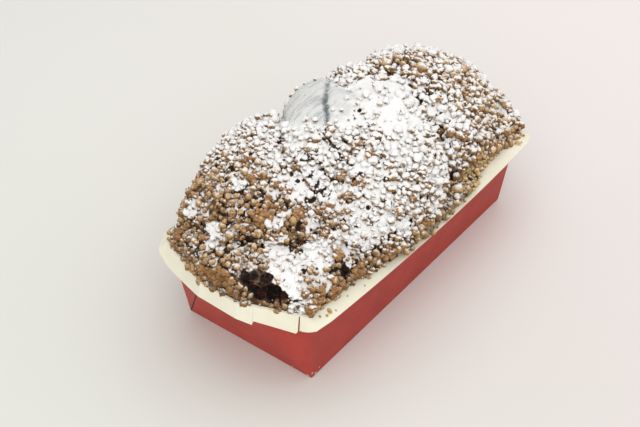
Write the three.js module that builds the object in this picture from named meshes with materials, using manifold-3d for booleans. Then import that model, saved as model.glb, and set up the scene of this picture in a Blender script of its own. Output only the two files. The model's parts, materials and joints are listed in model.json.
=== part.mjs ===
// A chocolate babka loaf with streusel crumbs, baked in a folded paperboard loaf tray.
// Millimetres, +Z up. The loaf's length runs along X, and the origin is the middle of the tray's
// underside. The near end of the loaf is at -X, and its front long side at -Y.
import * as THREE from 'three';
import { mergeVertices } from 'three/addons/utils/BufferGeometryUtils.js';
import Module from 'manifold-3d';

const wasm = await Module();
wasm.setup();

// ---- driving dimensions ----

const tray = {
  baseLength: 190,
  baseWidth: 84,
  height: 51.3, // underside to the fold of the rim
  rimLength: 203.4, // between the corners of the fold
  rimWidth: 93.2,
  sideBow: 2.9, // the long sides swell by this at the fold, half way along
  bowedLength: 230, // over the end panels, which the loaf has pushed out
  panelTop: 24, // an end panel's width at the fold, between its two diagonal creases
  board: 0.8,
  slitWidth: 0.7,
};

// The flange is the board turned out past the fold: its width, its droop in degrees below level,
// and the turn of its way out, from square to the end. Round an end each place is a share of the
// way from a corner of the fold to the crease, on the +Y side (1) or the -Y side (-1).
const flange = {
  tuckedCorner: [
    { side: 1, share: 0, turn: 84, width: 7.0, droop: 38 },
    { side: 1, share: 0, turn: 30, width: 8.4, droop: 58 },
  ],
  openCorner: [
    { side: 1, share: 0, turn: 90, width: 8.4, droop: 20 },
    { side: 1, share: 0, turn: 60, width: 7.6, droop: 28 },
  ],
  end: [
    { side: 1, share: 0.2, turn: 21, width: 10.0, droop: 62 },
    { side: 1, share: 0.45, turn: 21, width: 10.2, droop: 70 },
    { side: 1, share: 1, turn: 10.5, width: 8.6, droop: 77 },
    { side: -1, share: 1, turn: -10.5, width: 9.3, droop: 78 },
    { side: -1, share: 0.78, turn: -21, width: 10.4, droop: 77 }, // the first flap stops
    { side: -1, share: 0.765, turn: -21, width: 8.8, droop: 78 }, // and the second starts
    { side: -1, share: 0.17, turn: -21, width: 10.7, droop: 76 },
    { side: -1, share: 0.14, turn: -21, width: 8.8, droop: 78, slit: true },
    { side: -1, share: 0, turn: -70, width: 7.4, droop: 45 },
  ],
  front: { start: { width: 7.8, droop: 26 }, stop: { width: 9.5, droop: 17 } },
  frontShares: [-2 / 3, -1 / 3, 0, 1 / 3, 2 / 3], // of the way from the middle to a corner
};

const fitGap = 0.3; // between the loaf and the board

// The dough rose in four strands over a broad shoulder and foot, each a superellipsoid.
const roundness = 2.4;
const strands = [
  { name: 'near', at: [-44.8, 17.1, 37.8], half: [66.3, 51.3, 55.7], yaw: 0.33 },
  { name: 'flank', at: [-9.0, 9.8, 54.9], half: [70.3, 33.8, 47.2], yaw: 0.47 },
  { name: 'middle', at: [5.8, 0.4, 50.9], half: [85.0, 51.9, 50.0], yaw: 0.28 },
  { name: 'far', at: [44.9, 0.7, 41.9], half: [69.8, 50.6, 56.0], yaw: 0.155 },
  { name: 'shoulder', at: [35, 0, 44], half: [126, 57, 25], yaw: 0 },
  { name: 'foot', at: [-60, 0, 44], half: [72, 54, 30], yaw: 0 },
];
const dome = {
  heart: new THREE.Vector3(0, 0, 50), // inside every strand
  spread: new THREE.Vector3(112, 50, 46), // evens out the facets over the long loaf
  detail: 11,
  foot: 42, // flat underside, sunk in the part of the loaf that fills the tray
  leanFrom: 51.9, // above this the crust leans out over the rim
  leanSlope: 1.8,
  leanNear: 1, // most that it leans out at the near end, growing along the loaf to leanFar
  leanFar: 7,
  leanGrows: [-85, -30],
};

const crumbs = {
  seed: 20517,
  clumps: 28,
  ballsInClump: 3,
  clumpRadius: [3.0, 4.0],
  grains: 120,
  grainRadius: [2.4, 3.2],
  roughness: 0.16,
  lifted: 0.2, // a ball's middle above the crust, in radii
  spacing: 0.86, // smallest distance between neighbours, in sums of their radii
  rimClearance: 0.5,
  clumpReach: 1.7, // of a whole clump, in radii of its balls
  clumpAside: 0.8, // of each ball from the clump's middle
  triesEach: 60,
  flour: { at: new THREE.Vector3(-8, 29, 96), radius: 24 }, // smooth dough with no crumbs
};

const crustColour = new THREE.Color(0.6, 0.42, 0.26);
const boardColour = new THREE.Color(0.6, 0.17, 0.14);

// ---- closed meshes, joins and cuts ----

function toSolid(geometry) {
  const bare = geometry.clone();
  bare.deleteAttribute('normal');
  bare.deleteAttribute('uv');
  const merged = mergeVertices(bare, 1e-4);
  const corners = merged.index.array;
  const kept = [];
  for (let i = 0; i < corners.length; i += 3) {
    const [a, b, c] = [corners[i], corners[i + 1], corners[i + 2]];
    if (a !== b && b !== c && c !== a) kept.push(a, b, c);
  }
  const mesh = new wasm.Mesh({
    numProp: 3,
    vertProperties: new Float32Array(merged.attributes.position.array),
    triVerts: new Uint32Array(kept),
  });
  return new wasm.Manifold(mesh);
}

function toGeometry(solid) {
  const { vertProperties, triVerts } = solid.getMesh();
  const geometry = new THREE.BufferGeometry();
  geometry.setAttribute('position', new THREE.BufferAttribute(vertProperties, 3));
  geometry.setIndex(new THREE.BufferAttribute(triVerts, 1));
  geometry.computeVertexNormals();
  return geometry;
}

// The one body that is left when loose scraps and sealed hollows are dropped.
function largestPiece(solid) {
  const pieces = solid.decompose();
  pieces.sort((a, b) => b.volume() - a.volume());
  return pieces[0];
}

// Each ring is a closed loop of the same number of points, anticlockwise seen from above. The skin
// runs from ring to ring, with quads always split along the same diagonal, so that two skins a
// little apart stay apart. Flat floors close the first ring below and the last one above.
function skinOfRings(rings) {
  const points = [];
  const count = rings[0].length;
  for (let r = 0; r + 1 < rings.length; r += 1) {
    const rises = rings[r + 1][0].z > rings[r][0].z;
    for (let i = 0; i < count; i += 1) {
      const j = (i + 1) % count;
      const [a, b] = [rings[r][i], rings[r][j]];
      const [c, d] = [rings[r + 1][j], rings[r + 1][i]];
      if (rises) points.push(a, b, c, a, c, d);
      else points.push(a, b, d, b, c, d);
    }
  }
  const [first, last] = [rings[0], rings[rings.length - 1]];
  for (let i = 0; i < count; i += 1) {
    const j = (i + 1) % count;
    points.push(new THREE.Vector3(0, 0, first[0].z), first[j], first[i]);
    points.push(new THREE.Vector3(0, 0, last[0].z), last[i], last[j]);
  }
  return new THREE.BufferGeometry().setFromPoints(points);
}

// ---- the tray's outline ----

// A way out in plan, by its turn from -X towards +Y.
function outward(turn) {
  const angle = THREE.MathUtils.degToRad(turn);
  return new THREE.Vector2(-Math.cos(angle), Math.sin(angle));
}

// How far the fold of a long side swells out at a place along it.
function bowAt(x) {
  const share = Math.min(Math.abs(x) / (tray.rimLength / 2), 1);
  return tray.sideBow * (1 - share * share);
}

// Stations round one end, from the +Y side to the -Y side, and along the front: the place on the
// base that the wall rises from, the place on the fold that it rises to, and the flange there.
function endStations(firstCorner) {
  const base = new THREE.Vector2(tray.baseLength / 2, tray.baseWidth / 2);
  const corner = new THREE.Vector2(tray.rimLength / 2, tray.rimWidth / 2);
  const crease = new THREE.Vector2(tray.bowedLength / 2, tray.panelTop / 2);
  const round = [...firstCorner, ...flange.end].map(({ side, share, ...board }) => {
    const fold = corner.clone().lerp(crease, share);
    return {
      ...board,
      foot: new THREE.Vector2(-base.x, side * base.y),
      fold: new THREE.Vector2(-fold.x, side * fold.y),
    };
  });
  const { start, stop } = flange.front;
  const front = flange.frontShares.map((share) => {
    const x = share * corner.x;
    const grown = (share + 1) / 2;
    return {
      turn: -90,
      width: THREE.MathUtils.lerp(start.width, stop.width, grown),
      droop: THREE.MathUtils.lerp(start.droop, stop.droop, grown),
      foot: new THREE.Vector2(share * base.x, -base.y),
      fold: new THREE.Vector2(x, -corner.y - bowAt(x)),
    };
  });
  return [...round, ...front];
}

// The far end is the near end turned half round, with its first corner opened out.
function allStations() {
  const near = endStations(flange.tuckedCorner);
  const far = endStations(flange.openCorner).map((s) => ({
    ...s,
    foot: s.foot.clone().negate(),
    fold: s.fold.clone().negate(),
    turn: s.turn + 180,
  }));
  return [...near, ...far];
}

const stations = allStations();

// A point of the outline moved in towards both middle planes.
function inset(point, depth) {
  const shrink = (v) => Math.sign(v) * Math.max(Math.abs(v) - depth, 0);
  return new THREE.Vector2(shrink(point.x), shrink(point.y));
}

// The loop that the wall makes at a height, moved in by a depth.
function wallRing(height, depth) {
  const share = height / tray.height;
  return stations.map(({ foot, fold }) => {
    const place = inset(foot, depth).lerp(inset(fold, depth), share);
    return new THREE.Vector3(place.x, place.y, height);
  });
}

// A loop along the flange: out past the fold by a reach, and off the board's top face by a depth.
function flangeRing(reach, depth, lift) {
  return stations.map(({ fold, turn, width, droop }) => {
    const slope = THREE.MathUtils.degToRad(droop);
    const way = outward(turn);
    const run = width * reach;
    const out = lift + run * Math.cos(slope) - depth * Math.sin(slope);
    const down = run * Math.sin(slope) + depth * Math.cos(slope);
    const place = fold.clone().addScaledVector(way, out);
    return new THREE.Vector3(place.x, place.y, tray.height - down);
  });
}

// ---- tray ----

function buildTray() {
  const { board, height } = tray;
  const foldRadius = board * 0.6;
  const folded = toSolid(skinOfRings([
    wallRing(0, 0),
    wallRing(height - board * 1.2, 0),
    flangeRing(1, board, foldRadius),
    flangeRing(1, 0, foldRadius),
    flangeRing(0, 0, foldRadius),
    wallRing(height, board),
    wallRing(board, board),
  ]));
  const slits = stations.filter((station) => station.slit).map(rimSlit);
  return slits.reduce((cut, slit) => cut.subtract(slit), folded);
}

// A narrow upright block that parts the hanging end of the rim from the corner, below the fold.
function rimSlit({ fold, turn }) {
  const reach = 9;
  const below = 1.4;
  const drop = 14;
  const way = outward(turn);
  const block = new THREE.BoxGeometry(reach, tray.slitWidth, drop);
  block.rotateZ(Math.atan2(way.y, way.x));
  const place = fold.clone().addScaledVector(way, reach / 2);
  block.translate(place.x, place.y, tray.height - below - drop / 2);
  return toSolid(block);
}

// ---- loaf ----

function insideStrand(point, strand) {
  const [x, y, z] = strand.at;
  const [halfX, halfY, halfZ] = strand.half;
  const away = new THREE.Vector2(point.x - x, point.y - y);
  away.rotateAround(new THREE.Vector2(), -strand.yaw);
  const parts = [away.x / halfX, away.y / halfY, (point.z - z) / halfZ];
  return parts.reduce((sum, part) => sum + Math.abs(part) ** roundness, 0) < 1;
}

// The crust keeps inside the fold, and leans out over the flange only above it.
function insideRim(point) {
  const grown = THREE.MathUtils.smoothstep(point.x, ...dome.leanGrows);
  const most = THREE.MathUtils.lerp(dome.leanNear, dome.leanFar, grown);
  const lean = Math.min((point.z - dome.leanFrom) * dome.leanSlope, most);
  const depth = tray.board + fitGap;
  const [cornerX, cornerY] = [tray.rimLength / 2 - depth, tray.rimWidth / 2 - depth];
  const [creaseX, creaseY] = [tray.bowedLength / 2 - depth, tray.panelTop / 2 - depth];
  const [x, y] = [Math.abs(point.x), Math.abs(point.y)];
  const across = new THREE.Vector2(cornerY - creaseY, creaseX - cornerX).normalize();
  const facetOut = (x - cornerX) * across.x + (y - cornerY) * across.y;
  return y < cornerY + bowAt(x) + lean && facetOut < lean / 2 && x < creaseX + lean / 2;
}

function insideDome(point) {
  return insideRim(point) && strands.some((strand) => insideStrand(point, strand));
}

function domeSkin() {
  const skin = new THREE.IcosahedronGeometry(1, dome.detail);
  const places = skin.attributes.position;
  const farthest = 200;
  const halvings = 24;
  const point = new THREE.Vector3();
  for (let i = 0; i < places.count; i += 1) {
    const way = new THREE.Vector3().fromBufferAttribute(places, i);
    way.multiply(dome.spread).normalize();
    let [near, far] = [0, farthest];
    for (let step = 0; step < halvings; step += 1) {
      const middle = (near + far) / 2;
      point.copy(dome.heart).addScaledVector(way, middle);
      if (insideDome(point)) near = middle;
      else far = middle;
    }
    if (way.z < 0) near = Math.min(near, (dome.foot - dome.heart.z) / way.z);
    point.copy(dome.heart).addScaledVector(way, near);
    places.setXYZ(i, point.x, point.y, point.z);
  }
  return skin;
}

function trayFilling() {
  const depth = tray.board + fitGap;
  return skinOfRings([
    wallRing(depth, depth),
    wallRing(tray.height - depth, depth),
  ]);
}

// ---- crumbs ----

function seededDraw(seed) {
  let state = seed;
  return () => {
    state = (state + 0x6d2b79f5) | 0;
    let mixed = Math.imul(state ^ (state >>> 15), 1 | state);
    mixed = (mixed + Math.imul(mixed ^ (mixed >>> 7), 61 | mixed)) ^ mixed;
    return ((mixed ^ (mixed >>> 14)) >>> 0) / 4294967296;
  };
}

// Triangles of the crust above the rim, with their running total of area.
function crustTriangles(skin) {
  const places = skin.attributes.position;
  const triangles = [];
  let total = 0;
  for (let i = 0; i < places.count; i += 3) {
    const corners = [0, 1, 2].map((k) => new THREE.Vector3().fromBufferAttribute(places, i + k));
    const triangle = new THREE.Triangle(...corners);
    const lowest = Math.min(...corners.map((corner) => corner.z));
    if (lowest < dome.leanFrom) continue;
    total += triangle.getArea();
    triangles.push({ triangle, total });
  }
  return triangles;
}

function drawPlace(triangles, draw) {
  const target = draw() * triangles[triangles.length - 1].total;
  const { triangle } = triangles.find((entry) => entry.total >= target);
  let [u, v] = [draw(), draw()];
  if (u + v > 1) [u, v] = [1 - u, 1 - v];
  const { a, b, c } = triangle;
  const place = a.clone().multiplyScalar(1 - u - v).addScaledVector(b, u).addScaledVector(c, v);
  const normal = triangle.getNormal(new THREE.Vector3());
  return { place, normal };
}

function ball(place, radius, draw) {
  const bare = new THREE.IcosahedronGeometry(1, 0);
  bare.deleteAttribute('normal');
  bare.deleteAttribute('uv');
  const shape = mergeVertices(bare);
  const places = shape.attributes.position;
  const point = new THREE.Vector3();
  for (let i = 0; i < places.count; i += 1) {
    point.fromBufferAttribute(places, i);
    point.multiplyScalar(radius * (1 + crumbs.roughness * (2 * draw() - 1)));
    places.setXYZ(i, point.x, point.y, point.z);
  }
  const turn = new THREE.Euler(draw() * Math.PI, draw() * Math.PI, draw() * Math.PI);
  shape.applyMatrix4(new THREE.Matrix4().makeRotationFromEuler(turn));
  shape.translate(place.x, place.y, place.z);
  return toSolid(shape);
}

// The largest come first, and each keeps its distance from those already laid.
function scatterCrumbs(skin) {
  const draw = seededDraw(crumbs.seed);
  const triangles = crustTriangles(skin);
  const laid = [];
  const balls = [];
  const layAll = (count, [least, most], ballsEach) => {
    let left = count;
    for (let turn = 0; turn < count * crumbs.triesEach && left > 0; turn += 1) {
      const radius = most + (least - most) * draw();
      const { place, normal } = drawPlace(triangles, draw);
      if (place.distanceTo(crumbs.flour.at) < crumbs.flour.radius) continue;
      const group = radius * (ballsEach > 1 ? crumbs.clumpReach : 1);
      const crowded = laid.some((other) => other.place.distanceTo(place)
        < (other.group + group) * crumbs.spacing);
      if (crowded) continue;
      laid.push({ place, group });
      left -= 1;
      const tangent = new THREE.Vector3(1, 0, 0).cross(normal).normalize();
      for (let k = 0; k < ballsEach; k += 1) {
        const angle = ((k + draw() / 2) / ballsEach) * 2 * Math.PI;
        const aside = ballsEach > 1 ? radius * crumbs.clumpAside : 0;
        const centre = place.clone().addScaledVector(normal, radius * crumbs.lifted);
        centre.addScaledVector(tangent.clone().applyAxisAngle(normal, angle), aside);
        const reach = radius * (1 + crumbs.roughness) + crumbs.rimClearance;
        centre.z = Math.max(centre.z, tray.height + reach);
        balls.push(ball(centre, radius, draw));
      }
    }
  };
  layAll(crumbs.clumps, crumbs.clumpRadius, crumbs.ballsInClump);
  layAll(crumbs.grains, crumbs.grainRadius, 1);
  return balls;
}

function buildLoaf() {
  const skin = domeSkin();
  const bread = [toSolid(trayFilling()), toSolid(skin)];
  return largestPiece(wasm.Manifold.union([...bread, ...scatterCrumbs(skin)]));
}

// ---- the part ----

function addNode(group, name, solid, colour, roughness) {
  const material = new THREE.MeshStandardMaterial({ color: colour, roughness, metalness: 0 });
  const mesh = new THREE.Mesh(toGeometry(solid), material);
  mesh.name = name;
  group.add(mesh);
}

const part = new THREE.Group();
addNode(part, 'loaf', buildLoaf(), crustColour, 0.9);
addNode(part, 'tray', buildTray(), boardColour, 0.7);

export default part;
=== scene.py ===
import json
import math
import bpy
import bmesh
import numpy as np
from mathutils import Matrix, Vector, noise

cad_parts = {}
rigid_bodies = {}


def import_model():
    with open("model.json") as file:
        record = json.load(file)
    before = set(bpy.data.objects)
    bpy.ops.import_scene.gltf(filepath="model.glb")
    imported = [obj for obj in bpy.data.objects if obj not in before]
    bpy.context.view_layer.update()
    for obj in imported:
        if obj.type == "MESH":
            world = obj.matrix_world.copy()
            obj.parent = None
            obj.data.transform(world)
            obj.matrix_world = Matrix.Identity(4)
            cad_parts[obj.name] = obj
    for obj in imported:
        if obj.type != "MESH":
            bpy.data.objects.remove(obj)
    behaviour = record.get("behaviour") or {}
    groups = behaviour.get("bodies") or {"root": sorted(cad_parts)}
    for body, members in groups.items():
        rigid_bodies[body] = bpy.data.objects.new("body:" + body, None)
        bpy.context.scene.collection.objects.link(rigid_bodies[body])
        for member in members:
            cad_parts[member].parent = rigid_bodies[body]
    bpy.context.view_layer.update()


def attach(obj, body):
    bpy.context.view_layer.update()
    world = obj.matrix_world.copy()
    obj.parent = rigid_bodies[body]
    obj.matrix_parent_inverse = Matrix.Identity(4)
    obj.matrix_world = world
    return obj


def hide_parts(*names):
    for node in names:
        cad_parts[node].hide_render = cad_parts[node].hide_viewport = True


# A babka loaf under streusel crumbs and sifted sugar, in its folded paper tray.
# Shapes are worked out in millimetres and handed to Blender in metres. The near end is at -X,
# the long front at -Y, and the origin is the middle of the tray's underside.
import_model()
metre = 0.001


def mix(low, high, share):
    return low + (high - low) * share


def smoothStep(value, low, high):
    share = np.clip((value - low) / (high - low), 0, 1)
    return share * share * (3 - 2 * share)


def cloud(points, size, seed=0):
    # soft random swells about `size` apart, from -1 to 1
    return np.array([noise.noise(p) for p in (points / size + seed * 7.13).tolist()])


def grains(points, size, seed=0):
    # 0 at the middle of each grain of a random packing, near 1 between grains
    return np.array([noise.voronoi(p)[0][0] for p in (points / size + seed * 5.31).tolist()])


def addPiece(name, places, faces, materials):
    mesh = bpy.data.meshes.new(name)
    mesh.from_pydata((np.asarray(places) * metre).tolist(), [], [list(face) for face in faces])
    mesh.update()
    mesh.shade_smooth()
    for material in materials:
        mesh.materials.append(material)
    piece = bpy.data.objects.new(name, mesh)
    bpy.context.scene.collection.objects.link(piece)
    return piece


def addField(piece, name, values):
    field = piece.data.attributes.new(name, "FLOAT", "POINT")
    field.data.foreach_set("value", np.asarray(values, np.float32))


# The tray's outline, which the loaf fills.

tray = dict(
    baseLength=190, baseWidth=84,
    height=51.3,  # underside to the fold of the rim
    rimLength=203.4, rimWidth=93.2,  # between the corners of the fold
    sideBow=2.9,  # the long sides swell by this at the fold
    bowedLength=230,  # over the end panels, which the loaf has pushed out
    panelTop=24,  # an end panel's width at the fold, between its diagonal creases
    board=0.8, fitGap=0.3,
)

# The flange round an end, from its back corner to its front one: the side, the share of the way
# from that corner of the fold to the crease, the turn of the way out, the width of the board past
# the fold, its droop in degrees below level, how far it stands proud, and how many sections lead
# on to the next line.
endFlange = [
    (1, 0, 84, 7.0, 38, 0, 5),
    (1, 0, 30, 8.4, 58, 0, 4),
    (1, 0.2, 21, 10.0, 62, 0, 4),
    (1, 0.45, 21, 10.2, 70, 0, 6),
    (1, 1, 10.5, 8.6, 77, 0, 8),
    (-1, 1, -10.5, 9.3, 78, 0.1, 3),
    (-1, 0.78, -21, 10.4, 76, 0.5, 1),  # the first flap stops here
    (-1, 0.77, -21, 8.8, 78, 0, 7),
    (-1, 0.175, -21, 10.7, 76, 0, 1),
    (-1, 0.155, -21, 9.6, 77, 0, 1),  # beside the slit
    (-1, 0.150, -21, 0.9, 77, 0, 1),
    (-1, 0.134, -21, 0.9, 77, 0, 1),
    (-1, 0.129, -21, 8.7, 76, 0, 4),
    (-1, 0, -70, 7.4, 45, 0, 0),
]
openCorner = [(1, 0, 90, 8.4, 20, 0, 5), (1, 0, 60, 7.6, 28, 0, 4)]  # the far end starts with these
frontFlange = dict(start=(7.8, 26), stop=(9.5, 17), sections=30)


def bowAt(x):
    share = np.clip(np.abs(x) / (tray["rimLength"] / 2), 0, 1)
    return tray["sideBow"] * (1 - share * share)


def insideTray(points, depth):
    # the room between the walls, `depth` in from the outside of the board
    share = np.clip(points[:, 2] / tray["height"], 0, 1)
    cornerX = mix(tray["baseLength"], tray["rimLength"], share) / 2 - depth
    cornerY = mix(tray["baseWidth"], tray["rimWidth"], share) / 2 - depth
    creaseX = mix(tray["baseLength"], tray["bowedLength"], share) / 2 - depth
    creaseY = mix(tray["baseWidth"], tray["panelTop"], share) / 2 - depth
    across = np.stack([cornerY - creaseY, creaseX - cornerX + 1e-6], 1)
    across /= np.linalg.norm(across, axis=1, keepdims=True)
    x, y = np.abs(points[:, 0]), np.abs(points[:, 1])
    facetOut = (x - cornerX) * across[:, 0] + (y - cornerY) * across[:, 1]
    return (y < cornerY + bowAt(x) * share) & (facetOut < 0) & (x < creaseX)


# The loaf's crust.

loaf = dict(
    roundness=2.4,
    strands=[  # the plaited dough, as superellipsoids: middle, half sizes, turn about Z
        dict(name="near", at=(-44.8, 17.1, 37.8), half=(66.3, 51.3, 55.7), yaw=0.33),
        dict(name="flank", at=(-9.0, 9.8, 54.9), half=(70.3, 37.8, 47.2), yaw=0.47),
        dict(name="middle", at=(5.8, 0.4, 50.9), half=(85.0, 51.9, 50.0), yaw=0.28),
        dict(name="far", at=(44.9, 0.7, 41.9), half=(69.8, 50.6, 56.0), yaw=0.155),
        dict(name="shoulder", at=(35, 0, 44), half=(126, 57, 25), yaw=0),
        dict(name="foot", at=(-60, 0, 44), half=(72, 54, 30), yaw=0),
        dict(name="overhang", at=(22, 0, 50), half=(118, 64, 10), yaw=0),
    ],
    heart=(0, 0, 50),  # inside every strand
    spread=(112, 50, 46),  # how the grid laid over the dome is stretched
    leanFrom=51.4, leanSlope=5.0,  # above this height the crust leans out over the rim
    leanNear=0.8, leanFar=9.0, leanLast=2.0,  # near end, middle and far end
    leanGrows=(-74, -36), leanDrops=(28, 62),  # x over which it changes
    sag=3.0,  # how far the overhang sinks on to the flange
    gridAlong=390, gridAcross=236,
    skirtTurn=100,  # degrees from the top of the dome to its edge, inside the tray
    creaseDepth=3.4, creaseWidth=3.0,
    skirtHeights=(34, 18), underside=1.1,  # down inside the tray
)

# Places on the crust: x, y, z and radius.
sugarDrifts = [
    (15, -1, 101, 24), (-5, 2, 101, 16), (6, -23, 98, 14), (-8, -36, 93, 10), (-34, 12, 94, 12),
    (-56, -10, 88, 8), (-38, -10, 94, 7), (-23, 25, 92, 7), (-57, -26, 83, 8), (-51, 11, 92, 6),
    (-95, -26, 69, 8), (-100, -36, 62, 7), (-92, -19, 71, 7), (-102, -41, 54, 7), (-78, -33, 69, 8),
    (-65, -37, 70, 7), (-63, -11, 88, 6), (-55, -47, 71, 7), (-35, -53, 66, 6), (-7, -53, 64, 6),
    (-45, -50, 73, 5), (-55, -38, 80, 6), (-40, -40, 87, 6), (-35, -27, 93, 5), (2, -49, 76, 7),
    (40, -31, 93, 10), (45, -41, 85, 7), (67, -37, 88, 7), (40, 0, 101, 8), (-79, 15, 88, 4),
    (-94, 34, 74, 5), (-101, 14, 73, 5), (-105, 14, 70, 4), (-84, -11, 80, 4), (20, 34, 92, 12),
    (70, 28, 90, 9), (-60, 44, 74, 9), (-88, -30, 66, 6), (-71, -24, 80, 4),
]
barePatches = [  # chocolate filling shows through
    (-110, -15, 64.5, 3.4), (-108, -18, 65, 3.8), (-106, -23, 65, 4.0), (-109, -20, 61, 3.8),
    (-107, -26, 62, 4.2), (-109, -22, 58, 3.4), (-106, -30, 61, 3.8), (-107, -27, 58.5, 3.2),
    (-105.5, -33, 60.5, 2.8), (-111, -14, 66, 2.5), (-74, -46, 61, 2.8),
]
# the gaps below are sunk into the crust and also painted near-black as shade
shadedGaps = [  # deep gaps between the crumbs
    (-99, 28, 68, 2.6), (-108, 17, 67, 2.2), (-88, 8, 83, 1.5), (-75, 4, 88, 1.9), (-86, -6, 82, 1.5),
    (-27, -32, 92, 1.6), (-43, -30, 90, 1.4), (-39, -44, 82, 1.9), (-27, -49, 79, 1.5), (-48, -41, 81, 1.5),
    (-53, -33, 85, 1.7), (-21, -56, 62, 2.2), (-65, -16, 84, 1.6), (32, -36, 86, 2.0), (60, -31, 93, 1.6),
    (18, -49, 60, 2.0), (23, -51, 61, 2.0), (35, -46, 69, 1.5), (92, 34, 70, 3), (-61, -6, 90, 1.5),
    (1, -1, 101, 1.2), (32, 11, 98, 1.8), (28, 2, 99, 1.2),
]
bigClumps = [  # crumbs baked together
    (-84, -3, 82, 7.5), (-79, -5, 84, 6), (-70, 10, 90, 5), (-69, -4, 89, 5), (-85, 28, 82, 4),
    (-65, 22, 91, 4.2), (-112, 1, 60, 6), (-114, 9, 61, 5.5), (-115, -10, 60, 5.5), (-113, -4, 65, 5),
    (-104, 18, 69, 4), (-104, 35, 63, 5), (-96, -43, 59, 7), (-99, -44, 55, 5), (-83, -46, 57, 5.5),
    (-62, -25, 79, 6.5), (-66, -28, 72, 5.5), (-57, -34, 80, 4), (-74, -19, 81, 4.8), (-52, -30, 86, 4.6),
    (-42, -32, 91, 4.4), (-46, -52, 58, 5), (-67, -48, 58, 5.5), (-71, -38, 66, 5), (-16, -52, 61, 4.6),
    (-35, -49, 79, 4.6), (40, -25, 96, 4.4), (82, 0, 95, 6), (43, -45, 80, 4.5), (68, -50, 65, 5.5),
    (66, -50, 59, 5), (47, -48, 63, 5.5), (-26, -28, 95, 4), (-25, -18, 97, 4), (-44, -24, 92, 4),
    (-52, -1, 92, 4.2), (-25, -51, 78, 4), (61, -32, 93, 3.8), (60, -44, 81, 4), (-88, -14, 76, 4),
]
sugaredClumps = [
    (14, 15, 99, 3.0), (23, 28, 96, 3.2), (30, 20, 98, 2.6), (-2, -14, 100, 2.6), (8, -20, 99, 2.4),
]
clumpKinds = [(bigClumps, 0.45, 1), (sugaredClumps, 1.1, 0)]  # clumps, their share of the dust, how toasted
strayCrumbs = [  # lying on the flange
    (-92, -50.6, 50.3, 1.1), (-95, -51.6, 49.6, 0.8), (-89, -52.4, 49.2, 0.6), (-61, -52.2, 50.1, 0.9),
    (-66, -53.4, 49.4, 0.5), (-98, -49.6, 50.2, 0.6), (-78, -51.6, 50.2, 0.5), (88, -52.4, 50.6, 0.9),
    (95, -51.2, 50.7, 0.7), (92, -54, 50.1, 0.6), (99, -52, 50.3, 0.8),
]
# the cracks below are cut into the crust and also painted blue-grey as shade
splits = [  # cracks in the sugared dough: their places in turn, then depth and width
    ([(28, 40, 92), (14, 30, 96), (2, 22, 98), (-7, 16, 99), (-15, 9, 100), (-24, 3, 100)], 2.4, 2.0),
    ([(-24, 3, 100), (-30, -1, 99), (-33, -5, 97), (-36, -9, 96), (-35, -13, 93)], 2.6, 1.1),
    ([(-22, 12, 97), (-26, 10, 97)], 2.0, 1.6),
    ([(-47, -10, 94), (-51, -13, 91), (-55, -16, 89)], 1.8, 0.8),
]
flouryDough = [(-8, 29, 98, 27), (0, 45, 90, 20), (22, 42, 92, 14), (96, -32, 66, 7)]  # smooth, no crumbs
goldenSide = [(36, -55, 54, 10), (50, -55, 54, 11), (64, -55, 53, 9)]  # golden crumbs, low on the front
oliveSide = [(0, -56, 53, 30)]  # greyer dough, where it rests on the flange
whiteTop = sugarDrifts[:3]  # the sugar lies thickest on these
spotFields = dict(  # places, how ragged their edges are, a seed and a margin
    drift=(sugarDrifts, 0.35, 3), bare=(barePatches, 0.3, 5), hole=(shadedGaps, 0.7, 15),
    flour=(flouryDough, 0.25, 8), golden=(goldenSide, 0.35, 9), olive=(oliveSide, 0.3, 16),
    whiteTop=(whiteTop, 0.2, 6), clear=(barePatches, 0.3, 5, 1.2),
)


def strandValue(points, strand):
    away = points - np.array(strand["at"])
    c, s = math.cos(strand["yaw"]), math.sin(strand["yaw"])
    parts = np.stack([away[:, 0] * c + away[:, 1] * s, away[:, 1] * c - away[:, 0] * s, away[:, 2]], 1)
    return (np.abs(parts / np.array(strand["half"])) ** loaf["roundness"]).sum(axis=1)


def insideRim(points):
    # the crust keeps inside the fold, and leans out over the flange only above it
    depth = tray["board"] + tray["fitGap"]
    most = mix(loaf["leanNear"], loaf["leanFar"], smoothStep(points[:, 0], *loaf["leanGrows"]))
    most = mix(most, loaf["leanLast"], smoothStep(points[:, 0], *loaf["leanDrops"]))
    lean = np.minimum((points[:, 2] - loaf["leanFrom"]) * loaf["leanSlope"], most)
    corner = np.array([tray["rimLength"] / 2 - depth, tray["rimWidth"] / 2 - depth])
    crease = np.array([tray["bowedLength"] / 2 - depth, tray["panelTop"] / 2 - depth])
    across = np.array([corner[1] - crease[1], crease[0] - corner[0]])
    across /= np.linalg.norm(across)
    x, y = np.abs(points[:, 0]), np.abs(points[:, 1])
    facetOut = (x - corner[0]) * across[0] + (y - corner[1]) * across[1]
    overRim = (y < corner[1] + bowAt(x) + lean) & (facetOut < lean / 2) & (x < crease[0] + lean / 2)
    return np.where(points[:, 2] > tray["height"], overRim, insideTray(points, depth))


def reachTo(inside, ways, start):
    # how far each way goes from the start before it leaves the shape
    near, far = np.zeros(len(ways)), np.full(len(ways), 200.0)  # 200 is past every side
    for halving in range(20):
        middle = (near + far) / 2
        hit = inside(start + ways * middle[:, None])
        near, far = np.where(hit, middle, near), np.where(hit, far, middle)
    return near


def nearSpots(points, spots, ragged, seed, margin=0):
    # 1 on the spots, falling to 0 past their uneven edges
    wobble = cloud(points, 9, seed) + 0.6 * cloud(points, 4, seed + 1)
    value = np.zeros(len(points))
    for x, y, z, radius in spots:
        away = np.linalg.norm(points - np.array([x, y, z]), axis=1) / (radius + margin)
        value = np.maximum(value, 1 - smoothStep(away + wobble * ragged, 0.75, 1.2))
    return value


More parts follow.
